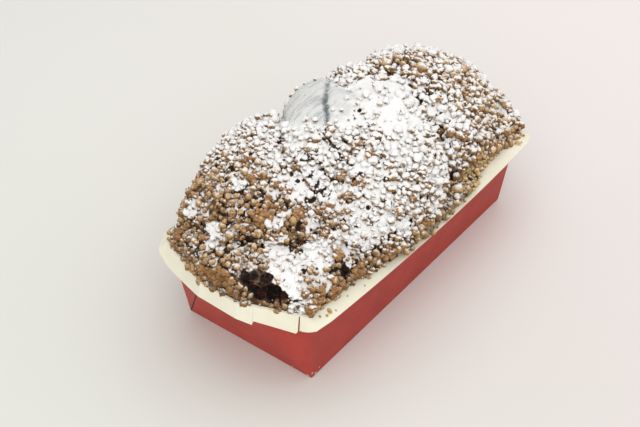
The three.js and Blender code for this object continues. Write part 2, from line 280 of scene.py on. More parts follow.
def nearSplits(points):
    # how deep each point lies in a crack, and from 0 to 1 how near its middle line
    deep, near = np.zeros(len(points)), np.zeros(len(points))
    heart = np.array(loaf["heart"], float)
    wander, broken = cloud(points, 6, 61), 0.8 + 0.6 * cloud(points, 3, 62)
    for places, depth, width in splits:
        for start, stop in zip(places, places[1:]):
            start, along = np.array(start, float), np.subtract(stop, start)
            share = np.clip((points - start) @ along / (along @ along), 0, 1)
            way = start + share[:, None] * along - heart
            way /= np.linalg.norm(way, axis=1, keepdims=True)
            away = points - heart
            away = np.linalg.norm(away - (away * way).sum(axis=1, keepdims=True) * way, axis=1)
            inside = np.exp(-((away + wander) / width) ** 2)
            near = np.maximum(near, inside)
            deep = np.maximum(deep, inside * depth)
    broken = np.clip(broken, 0, 1)
    return deep * mix(0.6, 1, broken), near * mix(0.45, 1, broken)


def domeWays():
    # a square grid laid over the dome, so that it has no pole
    s, t = np.meshgrid(np.linspace(-1, 1, loaf["gridAlong"]), np.linspace(-1, 1, loaf["gridAcross"]))
    x, y = s * np.sqrt(1 - t * t / 2), t * np.sqrt(1 - s * s / 2)
    turn = np.hypot(x, y) * math.radians(loaf["skirtTurn"])
    angle = np.arctan2(y, x)
    ways = np.stack([np.sin(turn) * np.cos(angle), np.sin(turn) * np.sin(angle), np.cos(turn)], -1)
    ways = ways.reshape(-1, 3) * np.array(loaf["spread"])
    return ways / np.linalg.norm(ways, axis=1, keepdims=True)


def crustPlaces():
    ways = domeWays()
    heart = np.array(loaf["heart"], float)
    reaches = np.stack([reachTo(lambda p, s=s: strandValue(p, s) < 1, ways, heart) for s in loaf["strands"]])
    ranked = np.sort(reaches, axis=0)
    reach = np.minimum(ranked[-1], reachTo(insideRim, ways, heart))
    places = heart + ways * reach[:, None]
    # the creases between the strands are cut deeper than where their rounds meet
    apart = ranked[-1] - ranked[-2]
    crease = np.exp(-(apart / loaf["creaseWidth"]) ** 2)
    broad = reaches[-3:].max(axis=0) >= ranked[-1] - 1e-6
    crease *= np.where(broad, 0.25, 1)
    out = np.abs(places[:, 1]) - tray["rimWidth"] / 2 - bowAt(places[:, 0])
    low = 1 - smoothStep(places[:, 2], tray["height"], tray["height"] + 6)
    places[:, 2] -= loaf["sag"] * np.clip(out / loaf["leanFar"], 0, 1) * low
    above = smoothStep(places[:, 2] + np.maximum(out, 0), tray["height"], tray["height"] + 5)
    return places, ways, crease * above, above


dusting = dict(  # how thick the sugar lies, from 0 to 1
    middle=0.76, nearEnd=0.31, lessFar=0.24, drifts=0.95, golden=0.22, lowFront=0.55,
    patches=0.20, patchSizes=(13, 6), heapsNear=0.6, creases=0.3,
    nearAlong=(-84, -50), farAlong=(22, 66),  # x where the near end stops and the far end starts
    frontOut=(43, 52), frontHeight=(56, 74),  # where the front side is low
    oliveFrom=52, oliveUpTo=59, oliveWaves=4,
)
keptDust = dict(bare=0.02, hole=0.1, olive=0.25)
keptCrumbs = dict(  # the share of the crumbs that stays on each
    drift=0.8, whiteTop=0.4, clear=0, hole=0.2, flour=0, shadedCrack=0, crease=0.6, thickSugar=0.9, olive=0.45,
)
crumbGrades = dict(  # crumbs are larger by these from the middle on, at the far end and in the golden strip
    middle=1.22, middleAlong=(-62, -20), far=1.14, farAlong=(10, 90), golden=0.62,
)


def isNear(places):
    return 1 - smoothStep(places[:, 0], *dusting["nearAlong"])


def crustFields(places, crease, spots):
    x, y, z = places.T
    drift, golden, near = spots["drift"], spots["golden"], isNear(places)
    oliveTo = dusting["oliveUpTo"] + dusting["oliveWaves"] * cloud(places, 9, 17)
    olive = spots["olive"] * (1 - smoothStep(z, dusting["oliveFrom"], oliveTo))
    shadedCrack = nearSplits(places)[1]
    broad, small = dusting["patchSizes"]
    patch = cloud(places, broad, 11) + 0.8 * cloud(places, small, 12)
    lowFront = smoothStep(-y, *dusting["frontOut"]) * (1 - smoothStep(z, *dusting["frontHeight"]))
    dust = mix(dusting["middle"], dusting["nearEnd"], near)
    dust = dust - dusting["lessFar"] * smoothStep(x, *dusting["farAlong"]) + dusting["patches"] * patch
    dust = dust * mix(1, dusting["lowFront"], lowFront)
    dust = mix(mix(dust, dusting["drifts"], drift), dusting["golden"], golden * 0.9)
    heaps = smoothStep(cloud(places, 5, 13) + 0.6 * cloud(places, 2.4, 14), 0.0, 0.35)
    lying = dust + near * dusting["heapsNear"] * heaps - dusting["creases"] * crease
    masks = dict(spots, olive=olive, shadedCrack=shadedCrack, crease=crease)
    for name, kept in keptDust.items():
        dust, lying = mix(dust, kept, masks[name]), mix(lying, kept, masks[name])
    masks["thickSugar"] = near * smoothStep(lying, 0.7, 1.0)
    cover = smoothStep(z, tray["height"] - 1.5, tray["height"] + 0.5)
    for name, kept in keptCrumbs.items():
        cover = cover * mix(1, kept, masks[name])
    grade = mix(1.0, crumbGrades["middle"], smoothStep(x, *crumbGrades["middleAlong"]))
    grade = grade * mix(1, crumbGrades["far"], smoothStep(x, *crumbGrades["farAlong"]))
    grade = grade * mix(1, crumbGrades["golden"], golden)
    return dict(
        dust=np.clip(dust, 0, 1), lying=np.clip(lying, 0, 1), bare=spots["bare"], hole=spots["hole"],
        flour=spots["flour"], golden=golden, olive=olive, shadedCrack=shadedCrack, cover=cover, drift=drift, grade=grade,
    )


ruggedness = dict(  # heights in millimetres
    swells=((1.1, 22, 21), (0.5, 9, 22)),  # height, size and seed
    knobs=1.25, smoothKnobs=0.15, pits=1.6, holes=1.4, bareDepth=1.0,
    pitsFrom=0.5, pitsFromNear=0.28,  # a lower start makes more pits
)


def crustRelief(places, crease, above, fields, spots):
    # the crust itself is knobbly, with pits between its knobs; the pits, the low ground between the knobs
    # and the deep gaps get a mask for painted shade
    smooth = np.maximum(fields["flour"], 0.6 * spots["whiteTop"])
    knobs = 0.55 - grains(places, 2.9, 23) + 0.45 * (0.5 - grains(places, 1.5, 24))
    craggy = 1.5 * (0.5 - grains(places, 3.4, 25)) + 0.7 * cloud(places, 2.0, 26)
    heaped = 0.7 + 0.6 * cloud(places, 6.0, 27) + 0.3 * cloud(places, 2.6, 28)
    rare = mix(ruggedness["pitsFrom"], ruggedness["pitsFromNear"], isNear(places))
    pits = smoothStep(cloud(places, 7, 31) + 0.7 * cloud(places, 3.2, 32), rare, rare + 0.47)
    pits = pits * (1 - smooth) * (1 - 0.7 * fields["drift"])
    relief = sum(height * cloud(places, size, seed) for height, size, seed in ruggedness["swells"])
    knobby = mix(ruggedness["knobs"], ruggedness["smoothKnobs"], smooth)
    relief += knobs * knobby * (1 - 0.45 * fields["drift"])
    relief += fields["drift"] * (1 - fields["flour"]) * heaped
    relief += fields["bare"] * (craggy - ruggedness["bareDepth"])
    relief -= ruggedness["pits"] * pits + nearSplits(places)[0] + loaf["creaseDepth"] * crease
    relief -= ruggedness["holes"] * fields["hole"]
    hollowShade = (1 - smooth) * smoothStep(-knobs, -0.05, 0.35) * mix(1, 0.35, smoothStep(fields["lying"], 0.6, 1))
    hollowShade = np.clip(1.1 * pits + hollowShade + fields["hole"], 0, 1)
    return relief * above, hollowShade * above


def buildCrust(material):
    places, ways, crease, above = crustPlaces()
    spots = {name: nearSpots(places, *given) for name, given in spotFields.items()}
    fields = crustFields(places, crease, spots)
    relief, fields["hollowShade"] = crustRelief(places, crease, above, fields, spots)
    places = places + ways * relief[:, None]
    rows, columns = loaf["gridAcross"], loaf["gridAlong"]
    index = np.arange(rows * columns).reshape(rows, columns)
    faces = np.stack([index[:-1, :-1], index[:-1, 1:], index[1:, 1:], index[1:, :-1]], -1).reshape(-1, 4)
    # from the edge of the grid the sides run down inside the tray to a flat underside
    edge = np.concatenate([index[0, :-1], index[:-1, -1], index[-1, :0:-1], index[:0:-1, 0]])
    depth = tray["board"] + tray["fitGap"]
    flat = places[edge] * np.array([1, 1, 0])
    level = flat / np.linalg.norm(flat, axis=1, keepdims=True)
    rings = [places]
    faces = faces.tolist()
    upper, count = edge, len(edge)
    for height in (*loaf["skirtHeights"], loaf["underside"]):
        start = np.array([0, 0, height], float)
        out = reachTo(lambda p: insideTray(p, depth), level, start)
        lower = sum(len(ring) for ring in rings) + np.arange(count)
        rings.append(start + level * out[:, None])
        after = np.roll(np.arange(count), -1)
        faces += np.stack([upper, lower, lower[after], upper[after]], -1).tolist()
        upper = lower
    rings.append(np.array([[0, 0, loaf["underside"]]], float))
    middle = sum(len(ring) for ring in rings) - 1
    faces += [[upper[i], middle, upper[(i + 1) % count]] for i in range(count)]
    everything = np.concatenate(rings)
    piece = addPiece("loafCrust", everything, faces, [material])
    for name, values in fields.items():
        addField(piece, name, np.concatenate([values, np.zeros(len(everything) - len(values))]))
    return piece


# Crumbs, cocoa bits and specks of sugar, scattered by Geometry Nodes. Sizes and spacings are in millimetres,
# `perSquare` is the most to a square millimetre, and `lift` the share of its size that a crumb is raised.
crumbShapes = dict(kinds=12, knobs=11, knobSize=0.42, spread=0.64, ragged=0.03, brokenSides=2)
scatters = [
    dict(name="crumbsLarge", detail=2, cover="cover", spacing=5.2, perSquare=0.06, least=1.95, most=2.6,
         lift=0.45, seed=41, finish="crumb"),
    dict(name="crumbsMedium", detail=2, cover="cover", spacing=3.3, perSquare=0.24, least=1.45, most=2.05,
         lift=0.5, seed=42, finish="crumb"),
    dict(name="crumbsSmall", detail=2, cover="cover", spacing=3.0, perSquare=0.09, least=0.95, most=1.35,
         lift=0.8, seed=46, finish="crumb"),
    dict(name="crumbsFine", detail=2, cover="cover", spacing=2.8, perSquare=0.05, least=0.45, most=0.8,
         lift=1.4, seed=43, finish="crumb"),
    dict(name="cocoaBits", detail=2, cover="bare", spacing=1.6, perSquare=0.5, least=0.6, most=1.3,
         lift=0.1, seed=44, finish="cocoa"),
    dict(name="sugarSpecks", detail=1, cover="dust", spacing=1.4, perSquare=0.07, least=0.2, most=0.4,
         lift=0.5, seed=45, finish="sugar"),
]


def lumpMesh(name, detail, seed, size=1.0):
    # a crumb is knobs grown together round its middle, with broken sides; a larger one has more
    # and smaller knobs
    draw = np.random.default_rng(seed)

    def ways(count):
        made = draw.normal(size=(count, 3))
        return made / np.linalg.norm(made, axis=1, keepdims=True)

    count = int(crumbShapes["knobs"] * max(1, size * 0.62) ** 1.5)
    centres = ways(count) * draw.uniform(0.7, 1.15, (count, 1)) * crumbShapes["spread"]
    radii = crumbShapes["knobSize"] / max(1, size * 0.4) * draw.uniform(0.6, 1.2, count)
    centres, radii = np.vstack([centres, [0, 0, 0]]), np.append(radii, 0.6)
    sides, depths = ways(crumbShapes["brokenSides"]), draw.uniform(0.62, 0.9, crumbShapes["brokenSides"])
    squash = size * draw.uniform(0.75, 1.15, 3)
    form = bmesh.new()
    bmesh.ops.create_icosphere(form, subdivisions=detail, radius=1)
    for vert in form.verts:
        way = np.array(vert.co.normalized())
        toward = centres @ way
        within = radii ** 2 - (centres ** 2).sum(axis=1) + toward ** 2
        reach = np.where(within > 0, toward + np.sqrt(np.maximum(within, 0)), 0).max()
        facing = sides @ way
        reach = min(reach, (depths / np.maximum(facing, 1e-3)).min())
        vert.co = Vector(way * reach * squash * (1 + draw.normal() * crumbShapes["ragged"]))
    mesh = bpy.data.meshes.new(name)
    form.to_mesh(mesh)
    form.free()
    mesh.shade_smooth()
    return mesh


def lumpCollection(name, detail):
    shapes = bpy.data.collections.new(name)
    for kind in range(crumbShapes["kinds"]):
        mesh = lumpMesh(f"{name}{kind}", detail, kind + detail * 10)
        mesh.transform(Matrix.Scale(metre, 4))
        shapes.objects.link(bpy.data.objects.new(f"{name}{kind}", mesh))
    return shapes


def scatterTree():
    tree = bpy.data.node_groups.new("scatterOverCrust", "GeometryNodeTree")
    tree.interface.new_socket("Geometry", in_out="OUTPUT", socket_type="NodeSocketGeometry")
    inputs = [
        ("Geometry", "Geometry"), ("Shapes", "Collection"), ("Cover", "String"), ("Spacing", "Float"),
        ("Density", "Float"), ("Least", "Float"), ("Most", "Float"), ("Lift", "Float"), ("Seed", "Int"),
        ("Finish", "Material"),
    ]
    for label, kind in inputs:
        tree.interface.new_socket(label, in_out="INPUT", socket_type="NodeSocket" + kind)
    link = tree.links.new
    given = tree.nodes.new("NodeGroupInput").outputs

    def add(kind, links, **settings):
        node = tree.nodes.new(kind)
        for name, value in settings.items():
            setattr(node, name, value)
        for value, socket in links:
            link(value, node.inputs[socket])
        return node

    def product(first, second):
        return add("ShaderNodeMath", [(first, 0), (second, 1)], operation="MULTIPLY").outputs[0]

    cover = add("GeometryNodeInputNamedAttribute", [(given["Cover"], "Name")], data_type="FLOAT")
    spread = add("GeometryNodeDistributePointsOnFaces", [
        (given["Geometry"], "Mesh"), (given["Spacing"], "Distance Min"), (given["Density"], "Density Max"),
        (cover.outputs["Attribute"], "Density Factor"), (given["Seed"], "Seed"),
    ], distribute_method="POISSON")
    size = add("FunctionNodeRandomValue", [(given["Least"], 2), (given["Most"], 3), (given["Seed"], "Seed")],
               data_type="FLOAT")
    grade = add("GeometryNodeInputNamedAttribute", [], data_type="FLOAT")
    grade.inputs["Name"].default_value = "grade"
    graded = product(size.outputs[1], grade.outputs["Attribute"])
    inMetres = add("ShaderNodeMath", [(product(graded, given["Lift"]), 0)], operation="MULTIPLY")
    inMetres.inputs[1].default_value = metre
    lifted = add("ShaderNodeVectorMath", [(spread.outputs["Normal"], 0), (inMetres.outputs[0], "Scale")],
                 operation="SCALE")
    stand = add("GeometryNodeSetPosition", [
        (spread.outputs["Points"], "Geometry"), (lifted.outputs[0], "Offset"),
    ])
    turn = add("FunctionNodeRandomValue", [(given["Seed"], "Seed")], data_type="FLOAT_VECTOR")
    turn.inputs[1].default_value = (math.tau,) * 3
    asTurn = add("FunctionNodeEulerToRotation", [(turn.outputs[0], 0)])
    shapes = add("GeometryNodeCollectionInfo", [(given["Shapes"], "Collection")])
    shapes.inputs["Separate Children"].default_value = True
    shapes.inputs["Reset Children"].default_value = True
    place = add("GeometryNodeInstanceOnPoints", [
        (stand.outputs[0], "Points"), (shapes.outputs[0], "Instance"), (asTurn.outputs[0], "Rotation"),
        (graded, "Scale"),
    ])
    place.inputs["Pick Instance"].default_value = True
    tone = add("FunctionNodeRandomValue", [(given["Seed"], "Seed")], data_type="FLOAT")
    keepTone = add("GeometryNodeStoreNamedAttribute", [(place.outputs[0], "Geometry")],
                   data_type="FLOAT", domain="INSTANCE")
    keepTone.inputs["Name"].default_value = "tone"
    link(tone.outputs[1], keepTone.inputs["Value"])
    real = add("GeometryNodeRealizeInstances", [(keepTone.outputs[0], 0)])
    finish = add("GeometryNodeSetMaterial", [(real.outputs[0], "Geometry"), (given["Finish"], "Material")])
    link(finish.outputs[0], tree.nodes.new("NodeGroupOutput").inputs[0])
    return tree


def scatterPiece(tree, crust, kind, material):
    base = bpy.data.objects.new(kind["name"] + "Base", crust.data)
    shapes = lumpCollection(kind["name"] + "Shape", kind["detail"])
    values = dict(
        Shapes=shapes, Cover=kind["cover"], Spacing=kind["spacing"] * metre,
        Density=kind["perSquare"] / metre ** 2, Least=kind["least"], Most=kind["most"],
        Lift=kind["lift"], Seed=kind["seed"], Finish=material,
    )
    modifier = base.modifiers.new("scatter", "NODES")
    modifier.node_group = tree
    for item in tree.interface.items_tree:
        if item.in_out == "INPUT" and item.name in values:
            modifier[item.identifier] = values[item.name]
    bpy.context.scene.collection.objects.link(base)
    bpy.context.view_layer.update()
    graph = bpy.context.evaluated_depsgraph_get()
    seen = base.evaluated_get(graph)
    mesh = bpy.data.meshes.new_from_object(seen, preserve_all_data_layers=True, depsgraph=graph)
    mesh.name = kind["name"]
    bpy.data.objects.remove(base)
    for shape in list(shapes.objects):
        bpy.data.objects.remove(shape)
    bpy.data.collections.remove(shapes)
    mesh.shade_smooth()
    if not mesh.materials:
        mesh.materials.append(material)
    piece = bpy.data.objects.new(kind["name"], mesh)
    bpy.context.scene.collection.objects.link(piece)
    triangles = sum(len(face.vertices) - 2 for face in mesh.polygons)
    print(kind["name"], triangles, "triangles")
    return piece


clumping = dict(
    crowd=0.28,  # crumbs to a square of the clump's radius, past the first two
    crumbShare=(0.30, 0.46), widest=5.2,  # a crumb's share of that radius, counted up to the widest
    aside=(0.35, 0.85), heaped=0.3,  # how far out it lies, and how far the middle is heaped up
    raised=0.35,  # shares of a crumb's own size
)


def buildClumps(crust, material):
    # each clump is a few crumbs heaped together on the crust nearest to its place
    count = len(crust.data.vertices)
    flat = np.empty(count * 3)
    crust.data.vertices.foreach_get("co", flat)
    places = flat.reshape(-1, 3) / metre
    dust = np.empty(count, np.float32)
    crust.data.attributes["dust"].data.foreach_get("value", dust)
    corners, faces, fields = [], [], []
    draw = np.random.default_rng(77)

    def addCrumb(centre, size, dusted, tone, toasted):
        mesh = lumpMesh("crumb", 3, int(draw.integers(1e6)), size)
        start = len(corners)
        corners.extend(centre + np.array(v.co) for v in mesh.vertices)
        faces.extend([start + i for i in f.vertices] for f in mesh.polygons)
        fields.extend([(dusted, tone, toasted)] * len(mesh.vertices))
        bpy.data.meshes.remove(mesh)

    for clumps, dustShare, toasted in clumpKinds:
        for x, y, z, radius in clumps:
            middle = np.argmin(np.linalg.norm(places - np.array([x, y, z]), axis=1))
            up = np.array(crust.data.vertices[int(middle)].normal)
            tone = draw.uniform(0.05, 0.6)
            for number in range(int(2 + clumping["crowd"] * radius ** 2)):
                size = draw.uniform(*clumping["crumbShare"]) * min(radius, clumping["widest"])
                aside = draw.normal(size=3)
                aside -= up * (aside @ up)
                share = 0 if number == 0 else draw.uniform(*clumping["aside"])
                spot = places[middle] + aside / np.linalg.norm(aside) * radius * share
                nearest = np.argmin(np.linalg.norm(places - spot, axis=1))
                rise = clumping["raised"] * size + clumping["heaped"] * radius * (1 - share)
                centre = places[nearest] + up * rise
                addCrumb(centre, size, dust[nearest] * dustShare, tone + draw.uniform(-0.1, 0.15), toasted)
    for x, y, z, radius in strayCrumbs:
        addCrumb(np.array([x, y, z]), radius, 0.2, draw.uniform(0.5, 0.9), 0)
    piece = addPiece("crumbClumps", np.array(corners), faces, [material])
    for name, values in zip(("dust", "tone", "toasted"), np.array(fields).T):
        addField(piece, name, values)
    print("crumbClumps", len(faces), "triangles")
    return piece


def outward(turn):
    return np.array([-math.cos(math.radians(turn)), math.sin(math.radians(turn))])


def endSections(lines):
    # Each section has the place on the base that the wall rises from, its place on the fold, and
    # the flange's turn, width, droop and stand.
    base = np.array([tray["baseLength"], tray["baseWidth"]]) / 2
    corner = np.array([tray["rimLength"], tray["rimWidth"]]) / 2
    crease = np.array([tray["bowedLength"], tray["panelTop"]]) / 2
    marks = []
    for side, share, turn, width, droop, proud, steps in lines:
        fold = mix(corner, crease, share) * (-1, side)
        marks.append((np.array([-base[0], side * base[1], *fold, turn, width, droop, proud]), steps))
    rows = []
    for (here, steps), (after, _) in zip(marks, marks[1:]):
        rows += [mix(here, after, step / steps) for step in range(steps)]
    rows.append(marks[-1][0])
    start, stop = np.array(frontFlange["start"]), np.array(frontFlange["stop"])
    for share in np.linspace(0, 1, frontFlange["sections"] + 1)[1:-1]:
        x = mix(-corner[0], corner[0], share)
        foot = (x * base[0] / corner[0], -base[1])
        rows.append(np.array([*foot, x, -corner[1] - bowAt(x), -90, *mix(start, stop, share), 0]))
    return np.array(rows)


def traySections():
    near, far = endSections(endFlange), endSections(openCorner + endFlange[2:])
    far[:, :4] *= -1
    far[:, 4] += 180
    return np.concatenate([near, far])


def wallRing(sections, height, depth):
    def inset(flat):
        return np.sign(flat) * np.maximum(np.abs(flat) - depth, 0)
    place = mix(inset(sections[:, 0:2]), inset(sections[:, 2:4]), height / tray["height"])
    return np.column_stack([place, np.full(len(place), height)])


def flangeRing(sections, reach, depth):
    rows = []
    for _, _, foldX, foldY, turn, width, droop, proud in sections:
        fold = np.array([foldX, foldY])
        wave = noise.noise((foldX / 17, foldY / 17, 1.0))
        slope = math.radians(droop + 2.2 * wave * reach)
        run = width * reach
        out = 0.5 + proud * min(1, run) + run * math.cos(slope) - depth * math.sin(slope)
        down = run * math.sin(slope) + depth * math.cos(slope)
        place = fold + outward(turn) * out
        rows.append((*place, tray["height"] - down))
    return np.array(rows)


def buildTray(red, cream, cutEdge):
    sections = traySections()
    board, height = tray["board"], tray["height"]
    rings = [
        (wallRing(sections, 0, 0.4), 0),
        (wallRing(sections, 0.5, 0), 0),
        *[(wallRing(sections, height * share, 0), 0) for share in (0.2, 0.4, 0.6, 0.8)],
        (wallRing(sections, height - board * 1.3, 0), 0),
        (flangeRing(sections, 0.25, board), 0),
        (flangeRing(sections, 1, board), 0),
        (flangeRing(sections, 1.01, board * 0.7), 2),
        (flangeRing(sections, 1.01, board * 0.3), 2),
        (flangeRing(sections, 1, 0), 2),
        (flangeRing(sections, 0.7, 0), 1),
        (flangeRing(sections, 0.35, 0), 1),
        (flangeRing(sections, 0.06, 0.04), 1),
        (wallRing(sections, height - 0.05, board * 0.35), 1),
        (wallRing(sections, height - 0.5, board), 1),
        (wallRing(sections, height * 0.5, board), 1),
        (wallRing(sections, board, board), 1),
    ]
    count = len(sections)
    places = np.concatenate([ring for ring, _ in rings])
    faces, kinds = [], []
    for row in range(len(rings) - 1):
        for i in range(count):
            j = (i + 1) % count
            a, b = row * count + i, row * count + j
            faces.append((a, b, b + count, a + count))
            kinds.append(rings[row + 1][1])
    middle = len(places)
    places = np.concatenate([places, [[0, 0, 0], [0, 0, board]]])
    last = (len(rings) - 1) * count
    for i in range(count):
        j = (i + 1) % count
        faces += [(middle, j, i), (middle + 1, last + i, last + j)]
        kinds += [0, 1]
    piece = addPiece("paperTray", places, faces, [red, cream, cutEdge])
    piece.data.polygons.foreach_set("material_index", kinds)
    form = bmesh.new()
    form.from_mesh(piece.data)
    bmesh.ops.recalc_face_normals(form, faces=form.faces)
    form.to_mesh(piece.data)
    form.free()
    piece.data.set_sharp_from_angle(angle=math.radians(14))
    return piece


def newMaterial(name):
    material = bpy.data.materials.new(name)
    material.use_nodes = True
    tree = material.node_tree
    tree.nodes.clear()
    shader = tree.nodes.new("ShaderNodeBsdfPrincipled")
    output = tree.nodes.new("ShaderNodeOutputMaterial")
    tree.links.new(shader.outputs[0], output.inputs[0])
    return material, tree, shader


def dress(tree, shader, colour, rough, shine=0.5, normal=None):
    tree.links.new(colour, shader.inputs["Base Color"])
    shader.inputs["Roughness"].default_value = rough
    shader.inputs["Specular IOR Level"].default_value = shine
    if normal is not None:
        tree.links.new(normal, shader.inputs["Normal"])


def objectPlace(tree):
    return tree.nodes.new("ShaderNodeTexCoord").outputs["Object"]


def noiseNode(tree, size, detail=3.0, rough=0.55, stretch=(1, 1, 1)):
    # a noise about `size` millimetres across on Object coordinates
    scaled = tree.nodes.new("ShaderNodeMapping")
    scaled.inputs["Scale"].default_value = [1 / (size * metre * s) for s in stretch]
    node = tree.nodes.new("ShaderNodeTexNoise")
    node.inputs["Scale"].default_value = 1
    node.inputs["Detail"].default_value = detail
    node.inputs["Roughness"].default_value = rough
    tree.links.new(objectPlace(tree), scaled.inputs[0])
    tree.links.new(scaled.outputs[0], node.inputs["Vector"])
    return node.outputs[0]


def mathNode(tree, operation, *values):
    node = tree.nodes.new("ShaderNodeMath")
    node.operation = operation
    for socket, value in zip(node.inputs, values):
        if isinstance(value, (int, float)):
            socket.default_value = value
        else:
            tree.links.new(value, socket)
    return node.outputs[0]


def attributeNode(tree, name, share=1):
    node = tree.nodes.new("ShaderNodeAttribute")
    node.attribute_name = name
    return node.outputs["Fac"] if share == 1 else mathNode(tree, "MULTIPLY", node.outputs["Fac"], share)


def rangeNode(tree, value, low, high, toLow=0.0, toHigh=1.0):
    node = tree.nodes.new("ShaderNodeMapRange")
    node.interpolation_type = "SMOOTHSTEP"
    tree.links.new(value, node.inputs["Value"])
    ends = zip(("From Min", "From Max", "To Min", "To Max"), (low, high, toLow, toHigh))
    for label, number in ends:
        node.inputs[label].default_value = number
    return node.outputs[0]


def blendNode(tree, share, first, second):
    node = tree.nodes.new("ShaderNodeMix")
    node.data_type = "RGBA"
    tree.links.new(share, node.inputs["Factor"])
    for socket, colour in ((node.inputs[6], first), (node.inputs[7], second)):
        if isinstance(colour, tuple):
            socket.default_value = (*colour, 1)
        else:
            tree.links.new(colour, socket)
    return node.outputs[2]


def bumpNode(tree, height, depth):
    # `depth` in millimetres for a height of 1
    node = tree.nodes.new("ShaderNodeBump")
    node.inputs["Strength"].default_value = 1
    node.inputs["Distance"].default_value = depth * metre
    tree.links.new(height, node.inputs["Height"])
    return node.outputs[0]


sugar = dict(
    white=(0.955, 0.95, 0.94), shaded=(0.84, 0.83, 0.82), fallsFrom=(0.38, 0.0, 0.92),
    patch=4.0, speck=1.3,  # sizes
    facingShare=0.62, patchShare=0.30, speckShare=0.18,  # what each adds to the dust
    takes=(0.98, 1.38),  # sugar settles where they add up to this
)


def sugarCoatGroup():
    # where sifted sugar lies: on what faces up and away from the near end, in patches, the more
    # the more dust there is
    group = bpy.data.node_groups.new("sugarCoat", "ShaderNodeTree")
    socket = group.interface.new_socket
    socket("Dust", in_out="INPUT", socket_type="NodeSocketFloat")
    socket("Haze", in_out="INPUT", socket_type="NodeSocketFloat")
    socket("Mask", in_out="OUTPUT", socket_type="NodeSocketFloat")
    socket("Facing", in_out="OUTPUT", socket_type="NodeSocketFloat")
    given, made = group.nodes.new("NodeGroupInput"), group.nodes.new("NodeGroupOutput")
    where = group.nodes.new("ShaderNodeTexCoord")
    lean = group.nodes.new("ShaderNodeVectorMath")
    lean.operation = "DOT_PRODUCT"
    lean.inputs[1].default_value = sugar["fallsFrom"]
    group.links.new(where.outputs["Normal"], lean.inputs[0])
    facing = rangeNode(group, lean.outputs["Value"], -0.4, 0.95)
    patches = rangeNode(group, noiseNode(group, sugar["patch"], 2.0), 0.32, 0.68)
    specks = rangeNode(group, noiseNode(group, sugar["speck"], 2.0), 0.3, 0.7)
    score = mathNode(group, "MULTIPLY", facing, sugar["facingShare"])
    score = mathNode(group, "MULTIPLY_ADD", patches, sugar["patchShare"], score)
    score = mathNode(group, "MULTIPLY_ADD", specks, sugar["speckShare"], score)
    score = mathNode(group, "ADD", given.outputs[0], score)
    settled = rangeNode(group, score, *sugar["takes"])
    haze = mathNode(group, "MULTIPLY", rangeNode(group, lean.outputs["Value"], 0.1, 1.0), given.outputs[1])
    haze = mathNode(group, "MULTIPLY", haze, rangeNode(group, given.outputs[0], 0.1, 0.7, 0.12, 1.0))
    group.links.new(mathNode(group, "MAXIMUM", settled, haze), made.inputs[0])
    group.links.new(facing, made.inputs[1])
    return group


def coatNode(tree, group, dust, haze):
    node = tree.nodes.new("ShaderNodeGroup")
    node.node_tree = group
    node.inputs["Haze"].default_value = haze
    tree.links.new(dust, node.inputs["Dust"])
    return node.outputs["Mask"], node.outputs["Facing"]


def crumbMaterial(coat):
    colours = dict(
        dark=(0.12, 0.052, 0.018), baked=(0.36, 0.205, 0.085), tan=(0.61, 0.395, 0.185),
        golden=(0.73, 0.51, 0.23), toasted=(0.38, 0.185, 0.065), shadedUnderside=(0.12, 0.055, 0.020),
    )
    material, tree, shader = newMaterial("streusel")
    tone = attributeNode(tree, "tone")
    golden, toasted = attributeNode(tree, "golden", 0.85), attributeNode(tree, "toasted", 0.6)
    fine = noiseNode(tree, 1.3, 4.0, 0.7)
    shade = mathNode(tree, "MULTIPLY_ADD", tone, 0.34, mathNode(tree, "MULTIPLY", fine, 1.3))
    body = blendNode(tree, rangeNode(tree, shade, 0.54, 0.76), colours["dark"], colours["baked"])
    body = blendNode(tree, rangeNode(tree, shade, 0.72, 1.02), body, colours["tan"])
    body = blendNode(tree, golden, body, colours["golden"])
    body = blendNode(tree, toasted, body, colours["toasted"])
    mask, facing = coatNode(tree, coat, attributeNode(tree, "dust"), 0.5)
    # painted shade: the sides that face down and away from the sugar's fall are blended by up to half
    # towards a dark brown
    body = blendNode(tree, rangeNode(tree, facing, 0.0, 0.45, 0.5, 0.0), body, colours["shadedUnderside"])
    body = blendNode(tree, mask, body, sugar["white"])
    dress(tree, shader, body, 0.9, 0.15, bumpNode(tree, fine, 0.6))
    return material


